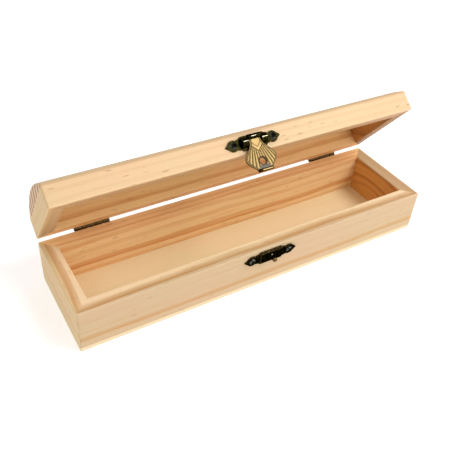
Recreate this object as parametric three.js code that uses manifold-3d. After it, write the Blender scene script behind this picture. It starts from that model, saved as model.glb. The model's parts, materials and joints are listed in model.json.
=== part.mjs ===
// A long wooden box with a hinged, shallow-domed lid, shown with the lid propped open.
// Two butt hinges join the lid to the back of the tray. A hasp on the lid's front carries a
// shell-shaped flap, and the flap's hole drops over a post on the tray's front.
// Units are millimetres. +Z is up, +X runs along the length and -Y is the front.
// The origin is the middle of the tray's underside.
import * as THREE from "three";
import { mergeVertices } from "three/addons/utils/BufferGeometryUtils.js";
import Module from "manifold-3d";

// Woodwork
const LENGTH = 205;
const WIDTH = 54;
const TRAY_HEIGHT = 25;
const WALL = 8;
const BOTTOM_THICKNESS = 2.6;
const LID_FRAME_HEIGHT = 9.7;
const DOME_EDGE = 1;
const DOME_RISE = 6.3;
const GLUE_LINE = 0.2;

// Lid hinge
const LID_OPENING = THREE.MathUtils.degToRad(52);
const RIM_GAP = 0.4;
const HINGE_SETBACK = 1.7;
const HINGE_SPACING = 148;
const HINGE_LENGTH = 19;
const KNUCKLES = 5;
const LEAF_HEIGHT = 8;
const LEAF_THICKNESS = 0.6;
const BARREL_RADIUS = 1.4;
const HINGE_PIN_RADIUS = 0.7;
const HINGE_SCREW_SPACING = 11;
const HINGE_SCREW_DROP = 5.2;

// Hasp and catch
const PLATE_HALF_WIDTH = 15.6;
const PLATE_BODY_HALF_WIDTH = 7.2;
const PLATE_BODY_HALF_HEIGHT = 3.7;
const PLATE_NECK_HALF_HEIGHT = 2.4;
const PLATE_CORNER = 0.8;
const PLATE_THICKNESS = 0.7;
const BOSS_THICKNESS = 1;
const BOSS_INSET = 0.4;
const EAR_RADIUS = 2.9;
const EAR_CENTRE = 11.2;
const FINIAL_SPREAD = THREE.MathUtils.degToRad(32);
const FINIAL_WAIST = 0.7;
const HASP_CENTRE_ABOVE_RIM = 5.1;
const HASP_AXIS_ABOVE_RIM = 7;
const HASP_AXIS_STANDOFF = 2.3;
const HASP_BARREL_RADIUS = 1.6;
const HASP_PIN_RADIUS = 0.6;
const HASP_PIN_INSET = 0.1;
const FLAP_BARREL_RADIUS = 1.3;
const FLAP_BARREL_HALF_LENGTH = 3.3;
const FLAP_THICKNESS = 0.8;
const FLAP_NECK_END = 2.2;
const FLAP_WIDEST_AT = 11.2;
const FLAP_WIDEST_HALF = 8.6;
const FLAP_LENGTH = 17.3;
const FLARE_BENDS = [[3.6, -6.6], [8.4, -7.6]];
const TAPER_BENDS = [[8.6, -13.4], [5.6, -15.2]];
const LIP_HALF_WIDTH = 4.2;
const LIP_RADIUS = 0.8;
const FLAP_HOLE_RADIUS = 1.7;
const POST_HEIGHT = 19.5;
const POST_RADIUS = 1.15;
const POST_TIP_RADIUS = 1.3;
const POST_TAIL_RADIUS = 0.8;
const POST_LENGTH = 4.2;
const POST_HEAD_LENGTH = 3.1;

// Screws: shank radius, shank length, head radius and head height
const HINGE_SCREW = { shank: 0.75, length: 5, head: 1.3, rise: 0.5 };
const PLATE_SCREW = { shank: 0.9, length: 6, head: 1.85, rise: 0.9 };

// Gaps between pieces
const CLEARANCE = 0.3;
const SEAT_GAP = 0.2;
const HEAD_GAP = 0.15;

// How far a cut runs past the faces it opens, and how fine the round shapes are
const CUT_MARGIN = 1;
const DRILL_REACH = 4;
const ROUND_STEPS = 20;
const SMALL_ROUND_STEPS = 16;
const DOME_STEPS = 28;
const CURVE_STEPS = 10;
const HEAD_STEPS = 4;

const HINGE_Y = WIDTH / 2 + HINGE_SETBACK;
const HINGE_Z = TRAY_HEIGHT + RIM_GAP / 2;
const LID_RIM_Z = TRAY_HEIGHT + RIM_GAP;
const PLATE_FACE = SEAT_GAP + PLATE_THICKNESS;
const BOSS_FACE = SEAT_GAP + BOSS_THICKNESS;
const FLAP_HOLE_DROP = LID_RIM_Z + HASP_AXIS_ABOVE_RIM - POST_HEIGHT;

const WOOD = new THREE.MeshStandardMaterial({ color: 0xe6c396, roughness: 0.62, metalness: 0 });
const FLOOR_WOOD = new THREE.MeshStandardMaterial({ color: 0xf0d3a6, roughness: 0.6, metalness: 0 });
const BRONZE = new THREE.MeshStandardMaterial({ color: 0x2b2415, roughness: 0.42, metalness: 0.85 });
const BRASS = new THREE.MeshStandardMaterial({ color: 0xc9a85c, roughness: 0.38, metalness: 0.9 });
const SCREW_METAL = new THREE.MeshStandardMaterial({ color: 0x5d523a, roughness: 0.35, metalness: 0.9 });

const wasm = await Module();
wasm.setup();

// Turns a closed geometry into a solid, leaving out triangles that merging has collapsed.
function toSolid(geometry) {
  const bare = geometry.clone();
  bare.deleteAttribute("normal");
  bare.deleteAttribute("uv");
  const merged = mergeVertices(bare, 1e-4);
  const index = merged.index.array;
  const triangles = [];
  for (let i = 0; i < index.length; i += 3) {
    const [a, b, c] = [index[i], index[i + 1], index[i + 2]];
    if (a !== b && b !== c && c !== a) triangles.push(a, b, c);
  }
  const mesh = new wasm.Mesh({
    numProp: 3,
    vertProperties: new Float32Array(merged.attributes.position.array),
    triVerts: new Uint32Array(triangles),
  });
  return new wasm.Manifold(mesh);
}

function toGeometry(solid) {
  const mesh = solid.getMesh();
  const geometry = new THREE.BufferGeometry();
  geometry.setAttribute("position", new THREE.BufferAttribute(mesh.vertProperties, 3));
  geometry.setIndex(new THREE.BufferAttribute(mesh.triVerts, 1));
  return geometry;
}

// Joins the first list of geometries into one solid and cuts the second list out of it.
function joinAndCut(joined, cuts) {
  let solid = toSolid(joined[0]);
  for (const geometry of joined.slice(1)) solid = solid.add(toSolid(geometry));
  for (const geometry of cuts) solid = solid.subtract(toSolid(geometry));
  return toGeometry(solid);
}

function box(x0, x1, y0, y1, z0, z1) {
  const geometry = new THREE.BoxGeometry(x1 - x0, y1 - y0, z1 - z0);
  return geometry.translate((x0 + x1) / 2, (y0 + y1) / 2, (z0 + z1) / 2);
}

function cylinderAlongX(radius, x0, x1) {
  const geometry = new THREE.CylinderGeometry(radius, radius, x1 - x0, ROUND_STEPS);
  return geometry.rotateZ(Math.PI / 2).translate((x0 + x1) / 2, 0, 0);
}

function cylinderAlongY(radius, x, z, y0, y1) {
  const geometry = new THREE.CylinderGeometry(radius, radius, y1 - y0, ROUND_STEPS);
  return geometry.translate(x, (y0 + y1) / 2, z);
}

// A hole through a plate that lies near y = 0.
function drill(radius, x, z) {
  return cylinderAlongY(radius, x, z, -DRILL_REACH, DRILL_REACH);
}

// A face drawn in X and Z, given its thickness towards the front (-Y) from y = 0.
function extrudeForward(shape, thickness) {
  const geometry = new THREE.ExtrudeGeometry(shape, { depth: thickness, bevelEnabled: false });
  return geometry.rotateX(Math.PI / 2);
}

function arcPoints(x, y, radius, from, to, steps) {
  const points = [];
  for (let i = 0; i <= steps; i += 1) {
    const angle = from + (to - from) * (i / steps);
    points.push(new THREE.Vector2(x + radius * Math.cos(angle), y + radius * Math.sin(angle)));
  }
  return points;
}

function addPiece(parent, name, geometry, material, x = 0, y = 0, z = 0) {
  const piece = new THREE.Mesh(geometry, material);
  piece.name = name;
  piece.position.set(x, y, z);
  parent.add(piece);
  return piece;
}

// A board with mitred ends. Its outer face lies on y = 0 and its inner face on y = WALL.
function mitredBoard(length, height, screwHoles, screw) {
  const outer = length / 2 - GLUE_LINE / Math.SQRT2;
  const inner = outer - WALL;
  const plan = new THREE.Shape([
    new THREE.Vector2(-outer, 0),
    new THREE.Vector2(outer, 0),
    new THREE.Vector2(inner, WALL),
    new THREE.Vector2(-inner, WALL),
  ]);
  const board = new THREE.ExtrudeGeometry(plan, { depth: height, bevelEnabled: false });
  const pilots = screwHoles.map(([x, z]) => {
    return cylinderAlongY(screw.shank + CLEARANCE, x, z, -CUT_MARGIN, screw.length + CLEARANCE);
  });
  return joinAndCut([board], pilots);
}

// Four boards around a rectangle, standing on z.
function addFrame(parent, name, height, z, frontHoles, backHoles) {
  const front = mitredBoard(LENGTH, height, frontHoles, PLATE_SCREW);
  const back = mitredBoard(LENGTH, height, backHoles, HINGE_SCREW);
  const end = mitredBoard(WIDTH, height, [], PLATE_SCREW);
  addPiece(parent, `${name}_front_board`, front, WOOD, 0, -WIDTH / 2, z);
  addPiece(parent, `${name}_back_board`, back, WOOD, 0, WIDTH / 2, z).rotation.z = Math.PI;
  addPiece(parent, `${name}_left_board`, end, WOOD, -LENGTH / 2, 0, z).rotation.z = -Math.PI / 2;
  addPiece(parent, `${name}_right_board`, end, WOOD, LENGTH / 2, 0, z).rotation.z = Math.PI / 2;
}

// A panel with a flat underside on z = 0 and a top that arches from front to back.
function domedPanel() {
  const half = WIDTH / 2;
  const radius = (half * half + DOME_RISE * DOME_RISE) / (2 * DOME_RISE);
  const centre = DOME_EDGE + DOME_RISE - radius;
  const spread = Math.asin(half / radius);
  const arch = arcPoints(0, centre, radius, Math.PI / 2 - spread, Math.PI / 2 + spread, DOME_STEPS);
  const section = new THREE.Shape([new THREE.Vector2(-half, 0), new THREE.Vector2(half, 0), ...arch]);
  const panel = new THREE.ExtrudeGeometry(section, { depth: LENGTH, bevelEnabled: false });
  const turn = new THREE.Matrix4().makeBasis(
    new THREE.Vector3(0, 1, 0),
    new THREE.Vector3(0, 0, 1),
    new THREE.Vector3(1, 0, 0),
  );
  return panel.applyMatrix4(turn).translate(-LENGTH / 2, 0, 0);
}

// A round-head wood screw along Y, with the underside of its head on y = 0 and its point at -Y.
function woodScrew(screw) {
  const radius = (screw.head * screw.head + screw.rise * screw.rise) / (2 * screw.rise);
  const spread = Math.asin(screw.head / radius);
  const head = arcPoints(0, screw.rise - radius, radius, Math.PI / 2 - spread, Math.PI / 2, HEAD_STEPS);
  head[head.length - 1].x = 0;
  const profile = [
    new THREE.Vector2(0, -screw.length),
    new THREE.Vector2(screw.shank, -screw.length + 2 * screw.shank),
    new THREE.Vector2(screw.shank, 0),
    ...head,
  ];
  return new THREE.LatheGeometry(profile, SMALL_ROUND_STEPS);
}

// A hinge leaf around a barrel axis on X. Its plate stands up from the axis in +Z, flat against
// the wood at y = -HINGE_SETBACK. Even knuckles belong to one leaf and odd ones to the other.
function hingeLeaf(parity) {
  const half = HINGE_LENGTH / 2;
  const pitch = HINGE_LENGTH / KNUCKLES;
  const back = -HINGE_SETBACK + SEAT_GAP;
  const joined = [box(-half, half, back, back + LEAF_THICKNESS, RIM_GAP / 2, LEAF_HEIGHT)];
  const cuts = [];
  for (let i = 0; i < KNUCKLES; i += 1) {
    const x0 = -half + i * pitch;
    const x1 = x0 + pitch;
    if (i % 2 === parity) {
      joined.push(cylinderAlongX(BARREL_RADIUS, x0, x1));
    } else {
      const relief = CLEARANCE / 2;
      cuts.push(cylinderAlongX(BARREL_RADIUS + CLEARANCE, x0 - relief, x1 + relief));
    }
  }
  cuts.push(cylinderAlongX(HINGE_PIN_RADIUS + CLEARANCE, -half - CUT_MARGIN, half + CUT_MARGIN));
  for (const side of [-1, 1]) {
    cuts.push(drill(HINGE_SCREW.shank + CLEARANCE, side * HINGE_SCREW_SPACING / 2, HINGE_SCREW_DROP));
  }
  return joinAndCut(joined, cuts);
}

// A straight pin along X with slightly crowned ends.
function pin(radius, halfLength) {
  const crown = radius / 3;
  const profile = [
    new THREE.Vector2(0, -halfLength),
    new THREE.Vector2(radius - crown, -halfLength),
    new THREE.Vector2(radius, -halfLength + crown),
    new THREE.Vector2(radius, halfLength - crown),
    new THREE.Vector2(radius - crown, halfLength),
    new THREE.Vector2(0, halfLength),
  ];
  return new THREE.LatheGeometry(profile, SMALL_ROUND_STEPS).rotateZ(Math.PI / 2);
}

// The outline shared by the hasp and catch plates: a block between two round ears, each with
// a pointed finial. It is the right half followed by the same half turned round.
function plateOutline() {
  const neckReach = Math.sqrt(EAR_RADIUS ** 2 - PLATE_NECK_HALF_HEIGHT ** 2);
  const neckAngle = Math.PI - Math.atan2(PLATE_NECK_HALF_HEIGHT, neckReach);
  const finialRoot = EAR_CENTRE + EAR_RADIUS * Math.cos(FINIAL_SPREAD);
  const waist = new THREE.Vector2((finialRoot + PLATE_HALF_WIDTH) / 2, FINIAL_WAIST);
  const half = [
    new THREE.Vector2(PLATE_BODY_HALF_WIDTH - PLATE_CORNER, -PLATE_BODY_HALF_HEIGHT),
    new THREE.Vector2(PLATE_BODY_HALF_WIDTH, -PLATE_BODY_HALF_HEIGHT + PLATE_CORNER),
    ...arcPoints(EAR_CENTRE, 0, EAR_RADIUS, -neckAngle, -FINIAL_SPREAD, CURVE_STEPS),
    new THREE.Vector2(waist.x, -waist.y),
    new THREE.Vector2(PLATE_HALF_WIDTH, 0),
    waist,
    ...arcPoints(EAR_CENTRE, 0, EAR_RADIUS, FINIAL_SPREAD, neckAngle, CURVE_STEPS),
    new THREE.Vector2(PLATE_BODY_HALF_WIDTH, PLATE_BODY_HALF_HEIGHT - PLATE_CORNER),
    new THREE.Vector2(PLATE_BODY_HALF_WIDTH - PLATE_CORNER, PLATE_BODY_HALF_HEIGHT),
  ];
  const turned = half.map((point) => point.clone().negate());
  return new THREE.Shape([...half, ...turned]);
}

// A plate with its back on y = -SEAT_GAP, a raised boss in the middle and a hole in each ear.
function claspPlate(extraJoins, extraCuts) {
  const plate = extrudeForward(plateOutline(), PLATE_THICKNESS).translate(0, -SEAT_GAP, 0);
  const bossHalf = PLATE_BODY_HALF_WIDTH - BOSS_INSET;
  const bossRise = PLATE_BODY_HALF_HEIGHT - BOSS_INSET;
  const boss = box(-bossHalf, bossHalf, -BOSS_FACE, -SEAT_GAP, -bossRise, bossRise);
  const cuts = [-1, 1].map((side) => drill(PLATE_SCREW.shank + CLEARANCE, side * EAR_CENTRE, 0));
  return joinAndCut([plate, boss, ...extraJoins], [...cuts, ...extraCuts]);
}

// The plate on the lid, with a knuckle on each side of the flap's knuckle.
function haspPlate() {
  const toAxis = (geometry) => {
    return geometry.translate(0, -HASP_AXIS_STANDOFF, HASP_AXIS_ABOVE_RIM - HASP_CENTRE_ABOVE_RIM);
  };
  const inner = FLAP_BARREL_HALF_LENGTH + CLEARANCE;
  const outer = PLATE_BODY_HALF_WIDTH;
  const knuckles = [
    toAxis(cylinderAlongX(HASP_BARREL_RADIUS, -outer, -inner)),
    toAxis(cylinderAlongX(HASP_BARREL_RADIUS, inner, outer)),
  ];
  const cuts = [
    toAxis(cylinderAlongX(HASP_PIN_RADIUS + CLEARANCE, -outer - CUT_MARGIN, outer + CUT_MARGIN)),
    toAxis(cylinderAlongX(FLAP_BARREL_RADIUS + CLEARANCE, -inner, inner)),
  ];
  return claspPlate(knuckles, cuts);
}

function catchPlate() {
  return claspPlate([], [drill(POST_TAIL_RADIUS + CLEARANCE, 0, 0)]);
}

// One edge of the flap, from its barrel down to its lip.
function flapEdge() {
  const neck = new THREE.Vector2(FLAP_BARREL_HALF_LENGTH, -FLAP_NECK_END);
  const widest = new THREE.Vector2(FLAP_WIDEST_HALF, -FLAP_WIDEST_AT);
  const lip = new THREE.Vector2(LIP_HALF_WIDTH, -FLAP_LENGTH + LIP_RADIUS);
  const flareBends = FLARE_BENDS.map(([x, y]) => new THREE.Vector2(x, y));
  const taperBends = TAPER_BENDS.map(([x, y]) => new THREE.Vector2(x, y));
  const flare = new THREE.CubicBezierCurve(neck, ...flareBends, widest);
  const taper = new THREE.CubicBezierCurve(widest, ...taperBends, lip);
  return [
    new THREE.Vector2(FLAP_BARREL_HALF_LENGTH, 0),
    ...flare.getPoints(CURVE_STEPS),
    ...taper.getPoints(CURVE_STEPS).slice(1),
    new THREE.Vector2(LIP_HALF_WIDTH, -FLAP_LENGTH),
  ];
}

// The flap hangs from a barrel axis on X: a fan-shaped plate behind y = 0 that ends in a rolled lip.
function haspFlap() {
  const edge = flapEdge();
  const otherEdge = edge.map((point) => new THREE.Vector2(-point.x, point.y)).reverse();
  const outline = new THREE.Shape([...edge, ...otherEdge]);
  const fan = extrudeForward(outline, FLAP_THICKNESS).translate(0, FLAP_THICKNESS, 0);
  const half = FLAP_BARREL_HALF_LENGTH;
  const knuckle = cylinderAlongX(FLAP_BARREL_RADIUS, -half, half);
  const lip = cylinderAlongX(LIP_RADIUS, -LIP_HALF_WIDTH, LIP_HALF_WIDTH).translate(0, 0, -FLAP_LENGTH);
  const bore = cylinderAlongX(HASP_PIN_RADIUS + CLEARANCE, -half - CUT_MARGIN, half + CUT_MARGIN);
  const hole = drill(FLAP_HOLE_RADIUS, 0, -FLAP_HOLE_DROP);
  return joinAndCut([fan, knuckle, lip], [bore, hole]);
}

// A post along Y: a thin tail that goes through the plate, a shoulder, and a rounded tip.
function catchPost() {
  const shoulder = -BOSS_FACE - HEAD_GAP;
  const tip = shoulder - POST_LENGTH;
  const bulb = arcPoints(0, 0, POST_TIP_RADIUS, Math.PI / 2, -Math.PI / 4, CURVE_STEPS);
  bulb[0].x = 0;
  const profile = [
    ...bulb.map((point) => new THREE.Vector2(point.x, tip + POST_TIP_RADIUS - point.y)),
    new THREE.Vector2(POST_RADIUS, tip + POST_HEAD_LENGTH),
    new THREE.Vector2(POST_RADIUS, shoulder),
    new THREE.Vector2(POST_TAIL_RADIUS, shoulder),
    new THREE.Vector2(POST_TAIL_RADIUS, -SEAT_GAP),
    new THREE.Vector2(0, -SEAT_GAP),
  ];
  return new THREE.LatheGeometry(profile, ROUND_STEPS);
}

// Screw places along a board that carries both hinges.
function hingeScrewPlaces(z) {
  const places = [];
  for (const side of [-1, 1]) {
    for (const end of [-1, 1]) places.push([side * HINGE_SPACING / 2 + end * HINGE_SCREW_SPACING / 2, z]);
  }
  return places;
}

function addTray(tray) {
  const bottom = box(-LENGTH / 2, LENGTH / 2, -WIDTH / 2, WIDTH / 2, 0, BOTTOM_THICKNESS);
  const frameZ = BOTTOM_THICKNESS + GLUE_LINE;
  const catchHoles = [-1, 1].map((side) => [side * EAR_CENTRE, POST_HEIGHT - frameZ]);
  const hingeHoles = hingeScrewPlaces(HINGE_Z - HINGE_SCREW_DROP - frameZ);
  addPiece(tray, "tray_bottom_panel", bottom, FLOOR_WOOD);
  addFrame(tray, "tray", TRAY_HEIGHT - frameZ, frameZ, catchHoles, hingeHoles);
}

// The lid's woodwork, placed from the middle of its rim.
function addLid(lid) {
  const haspHoles = [-1, 1].map((side) => [side * EAR_CENTRE, HASP_CENTRE_ABOVE_RIM]);
  const hingeHoles = hingeScrewPlaces(HINGE_Z + HINGE_SCREW_DROP - LID_RIM_Z);
  addFrame(lid, "lid", LID_FRAME_HEIGHT - GLUE_LINE, 0, haspHoles, hingeHoles);
  addPiece(lid, "lid_top_panel", domedPanel(), WOOD, 0, 0, LID_FRAME_HEIGHT);
}

// Both groups have their origin on the hinge axis, and the lid's group turns about it.
// The lower leaf points down, so it is turned half round about Y.
function addHinges(tray, lidAxis) {
  for (const [name, side] of [["left", -1], ["right", 1]]) {
    const x = side * HINGE_SPACING / 2;
    addPiece(tray, `${name}_hinge_lower_leaf`, hingeLeaf(0), BRONZE, x).rotation.y = Math.PI;
    addPiece(lidAxis, `${name}_hinge_upper_leaf`, hingeLeaf(1), BRONZE, x);
    addPiece(tray, `${name}_hinge_pin`, pin(HINGE_PIN_RADIUS, HINGE_LENGTH / 2), SCREW_METAL, x);
    const headSeat = -HINGE_SETBACK + SEAT_GAP + LEAF_THICKNESS + HEAD_GAP;
    for (const end of [-1, 1]) {
      const screwX = x + end * HINGE_SCREW_SPACING / 2;
      const place = end < 0 ? "left" : "right";
      const lower = `${name}_hinge_lower_${place}_screw`;
      const upper = `${name}_hinge_upper_${place}_screw`;
      addPiece(tray, lower, woodScrew(HINGE_SCREW), SCREW_METAL, screwX, headSeat, -HINGE_SCREW_DROP);
      addPiece(lidAxis, upper, woodScrew(HINGE_SCREW), SCREW_METAL, screwX, headSeat, HINGE_SCREW_DROP);
    }
  }
}

function addPlateScrews(parent, name, y, z) {
  for (const [place, side] of [["left", -1], ["right", 1]]) {
    const head = y - PLATE_FACE - HEAD_GAP;
    const screw = woodScrew(PLATE_SCREW);
    const piece = addPiece(parent, `${name}_${place}_screw`, screw, SCREW_METAL, side * EAR_CENTRE, head, z);
    piece.rotation.x = Math.PI;
  }
}

function addHasp(lid) {
  const face = -WIDTH / 2;
  const axisY = face - HASP_AXIS_STANDOFF;
  const pinHalf = PLATE_BODY_HALF_WIDTH - HASP_PIN_INSET;
  addPiece(lid, "hasp_plate", haspPlate(), BRONZE, 0, face, HASP_CENTRE_ABOVE_RIM);
  addPiece(lid, "hasp_hinge_pin", pin(HASP_PIN_RADIUS, pinHalf), BRONZE, 0, axisY, HASP_AXIS_ABOVE_RIM);
  addPiece(lid, "hasp_flap", haspFlap(), BRASS, 0, axisY, HASP_AXIS_ABOVE_RIM);
  addPlateScrews(lid, "hasp", face, HASP_CENTRE_ABOVE_RIM);
}

function addCatch(tray) {
  const face = -WIDTH / 2;
  addPiece(tray, "catch_plate", catchPlate(), BRONZE, 0, face, POST_HEIGHT);
  addPiece(tray, "catch_post", catchPost(), BRASS, 0, face, POST_HEIGHT);
  addPlateScrews(tray, "catch", face, POST_HEIGHT);
}

const group = new THREE.Group();

const hingeLine = new THREE.Group();
hingeLine.position.set(0, HINGE_Y, HINGE_Z);
group.add(hingeLine);

const lidAxis = new THREE.Group();
lidAxis.rotation.x = -LID_OPENING;
hingeLine.add(lidAxis);

const lid = new THREE.Group();
lid.position.set(0, -HINGE_Y, LID_RIM_Z - HINGE_Z);
lidAxis.add(lid);

addTray(group);
addLid(lid);
addHinges(hingeLine, lidAxis);
addHasp(lid);
addCatch(group);

export default group;
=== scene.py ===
"""A small pine box with a domed lid, a shell hasp and a catch. Metres, in the CAD frame.

Each piece is drawn in millimetres with the lid closed, then carried to where the frame has it.
"""

import json
import math

import bmesh
import bpy
from mathutils import Matrix, Vector

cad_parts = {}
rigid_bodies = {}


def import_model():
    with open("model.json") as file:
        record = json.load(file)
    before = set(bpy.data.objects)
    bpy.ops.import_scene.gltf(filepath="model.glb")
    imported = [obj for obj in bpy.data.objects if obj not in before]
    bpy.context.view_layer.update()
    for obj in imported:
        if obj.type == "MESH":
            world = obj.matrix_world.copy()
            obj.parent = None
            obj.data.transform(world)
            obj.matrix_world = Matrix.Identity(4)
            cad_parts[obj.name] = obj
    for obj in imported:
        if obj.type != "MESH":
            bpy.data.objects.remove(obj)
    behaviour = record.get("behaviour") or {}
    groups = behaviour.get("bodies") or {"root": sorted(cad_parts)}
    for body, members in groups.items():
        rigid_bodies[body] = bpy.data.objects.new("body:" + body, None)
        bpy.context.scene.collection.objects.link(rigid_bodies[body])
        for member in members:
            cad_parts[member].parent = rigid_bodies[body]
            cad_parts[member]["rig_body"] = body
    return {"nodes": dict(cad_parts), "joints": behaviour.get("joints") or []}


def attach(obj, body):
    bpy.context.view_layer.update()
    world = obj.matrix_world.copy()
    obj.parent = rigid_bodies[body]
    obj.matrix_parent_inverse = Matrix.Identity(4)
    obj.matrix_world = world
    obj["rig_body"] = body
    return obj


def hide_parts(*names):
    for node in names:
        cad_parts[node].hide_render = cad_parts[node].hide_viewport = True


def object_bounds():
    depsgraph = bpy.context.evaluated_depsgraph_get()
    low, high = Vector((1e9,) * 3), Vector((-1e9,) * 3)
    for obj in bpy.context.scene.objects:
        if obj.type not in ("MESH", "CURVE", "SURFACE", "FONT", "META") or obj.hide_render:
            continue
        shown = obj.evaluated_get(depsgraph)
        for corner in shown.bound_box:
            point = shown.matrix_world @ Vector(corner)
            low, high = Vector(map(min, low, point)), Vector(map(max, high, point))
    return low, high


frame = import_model()
CAD_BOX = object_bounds()

MM = 0.001

# Woodwork, in millimetres
EDGE_RADIUS = 0.65
BACK_EDGE_RADIUS = 0.25
LID_RIM_DROP = 0.2
CORNER_RADIUS = 0.9
SEAM = 0.015
ROUND_STEPS = 4
CORNER_STEPS = 5
DOME_STEPS = 56
DOME_EDGE = 1.0

# Hasp and catch plates, in millimetres
PLATE_HALF_LENGTH = 15.6
PLATE_BODY_HALF_LENGTH = 7.2
PLATE_BODY_HALF_HEIGHT = 3.7
PLATE_NECK_HALF_HEIGHT = 2.4
PLATE_CORNER = 0.8
PLATE_THICKNESS = 0.85
PLATE_SOFTNESS = 0.22
EAR_RADIUS = 2.9
EAR_CENTRE = 11.2
FINIAL_SPREAD = 32
FINIAL_WAIST = 0.8
BOSS_INSET = 0.7
BOSS_RISE = 1.15
BOSS_SOFTNESS = 0.28
CHEEK_RADIUS = 2.6
CHEEK_STANDOFF = 1.05
CHEEK_INNER = 3.65
CHEEK_OUTER = PLATE_BODY_HALF_LENGTH - 0.1
CHEEK_SOFTNESS = 0.35
CHEEK_NOTCH_WIDTH = 0.55
CHEEK_NOTCH_BACK = 1.2
CHEEK_NOTCH_TOP = -1.65
# Painted highlight along each cheek: its angle and spread in degrees, and where it starts and ends
CHEEK_HIGHLIGHT_ANGLE = 4
CHEEK_HIGHLIGHT_SPREAD = 4
CHEEK_HIGHLIGHT_START = CHEEK_INNER + 0.4
CHEEK_HIGHLIGHT_END = PLATE_BODY_HALF_LENGTH - 0.5
TROUGH_GAP = 0.12

# Flap, in millimetres below its hinge pin
FLAP_KNUCKLE_RADIUS = 1.42
FLAP_KNUCKLE_HALF = 3.35
FLAP_KNUCKLE_SOFTNESS = 0.15
FLAP_BACK = 0.75
FLAP_EDGE_START = (3.3, 0.8)
FLAP_NECK_END = (3.3, 2.2)
FLAP_FLARE = ((3.6, 6.6), (8.4, 7.6))
FLAP_WIDEST = (8.6, 11.2)
FLAP_TAPER = ((8.6, 13.4), (5.6, 15.2))
FLAP_FOOT = (4.2, 16.9)
FLAP_HOLE_DROP = 12.9
FLAP_HOLE_RADIUS = 1.65
FLAP_RING_RADIUS = 2.15
RIB_APEX = -3.4
RIB_PITCH = 5.6
RIB_HEIGHT = 0.3
CHEVRON_TIP = 7.8
CHEVRON_SLOPE = 1.0
LIP_DROP = 17.3
LIP_RADIUS = 0.78
LIP_HALF = 4.2
LIP_SOFTNESS = 0.2

# Painted highlights along rods: where each starts and ends, its angle above straight forward, and its
# spread
LIP_HIGHLIGHT = (-2.2, 3.6, -10, 18)
KNUCKLE_HIGHLIGHT = (-1.8, 1.0, -4, 6)

# Post, hinges and screws, in millimetres
POST_TIP_RADIUS = 1.28
POST_NECK_RADIUS = 0.95
POST_COLLAR_RADIUS = 1.4
POST_COLLAR_START = 0.2
POST_COLLAR_HEIGHT = 0.35
POST_SHOULDER_HEIGHT = 0.6
POST_SHOULDER_INSET = 0.3
POST_NECK_START = 0.7
LEAF_THICKNESS = 0.6
LEAF_SEAT_GAP = 0.02
LEAF_START = 0.9
LEAF_SOFTNESS = 0.15
WEB_START = 0.3
WEB_END = 1.3
KNUCKLES = 5
KNUCKLE_RADIUS = 1.38
KNUCKLE_BORE = 0.75
KNUCKLE_GAP = 0.12
FRONT_SCREW_RISE = 0.9
BACK_SCREW_RISE = 0.5
SCREW_SEAT = 0.2
FIRST_SCREW_SPIN = 12
SCREW_SPIN_STEP = 37

# A screw's cross recess, as shares of its head's radius and rise
CROSS_HALF_WIDTH = 0.17
CROSS_REACH = 0.62
CROSS_FLOOR = 0.3


# ---------------------------------------------------------------- frame

def joint_named(name):
    """The frame's joint of that name."""
    return next(joint for joint in frame["joints"] if joint["name"] == name)


def lid_turn():
    """The turn about the lid's hinge line that opens the closed lid to its rest pose."""
    joint = joint_named("lid_hinge")
    pivot = Vector(joint["pos_m"])
    opening = math.radians(-joint["range_deg"][0])
    turn = Matrix.Rotation(opening, 4, Vector(joint["axis"]))
    return Matrix.Translation(pivot) @ turn @ Matrix.Translation(-pivot)


LID_TURN = lid_turn()
TURNS = {"tray": Matrix.Identity(4), "lid": LID_TURN, "hasp_flap": LID_TURN}


def closed_box(node):
    """A CAD node's lowest and highest corners with the lid closed, in millimetres."""
    body = frame["nodes"][node]["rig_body"]
    to_closed = TURNS[body].inverted()
    corners = [to_closed @ vertex.co / MM for vertex in frame["nodes"][node].data.vertices]
    low = Vector([min(corner[axis] for corner in corners) for axis in range(3)])
    high = Vector([max(corner[axis] for corner in corners) for axis in range(3)])
    return low, high


def closed_centre(node):
    """The middle of closed_box()."""
    low, high = closed_box(node)
    return (low + high) / 2


# ---------------------------------------------------------------- meshes

def arc(x, y, radius, start, end, steps):
    """Points along an arc, between two angles in degrees."""
    angles = [math.radians(start + (end - start) * i / steps) for i in range(steps + 1)]
    return [(x + radius * math.cos(a), y + radius * math.sin(a)) for a in angles]


def bezier(start, bends, end, steps):
    """Points along a cubic curve."""
    points = []
    for i in range(steps + 1):
        t = i / steps
        weights = ((1 - t) ** 3, 3 * t * (1 - t) ** 2, 3 * t * t * (1 - t), t ** 3)
        stops = (start, *bends, end)
        points.append(tuple(sum(w * p[k] for w, p in zip(weights, stops)) for k in range(2)))
    return points


def smoothstep(low, high, value):
    """0 below low, 1 above high, and a smooth rise between them."""
    t = min(max((value - low) / (high - low), 0.0), 1.0)
    return t * t * (3 - 2 * t)


def prism(outline, start, end):
    """A solid with an outline in its first two axes, drawn out along the third."""
    bm = bmesh.new()
    near, far = ([bm.verts.new((u, v, w)) for u, v in outline] for w in (start, end))
    bm.faces.new(near[::-1])
    bm.faces.new(far)
    for i in range(len(outline)):
        bm.faces.new((near[i - 1], near[i], far[i], far[i - 1]))
    bmesh.ops.recalc_face_normals(bm, faces=bm.faces)
    return bm


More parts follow.
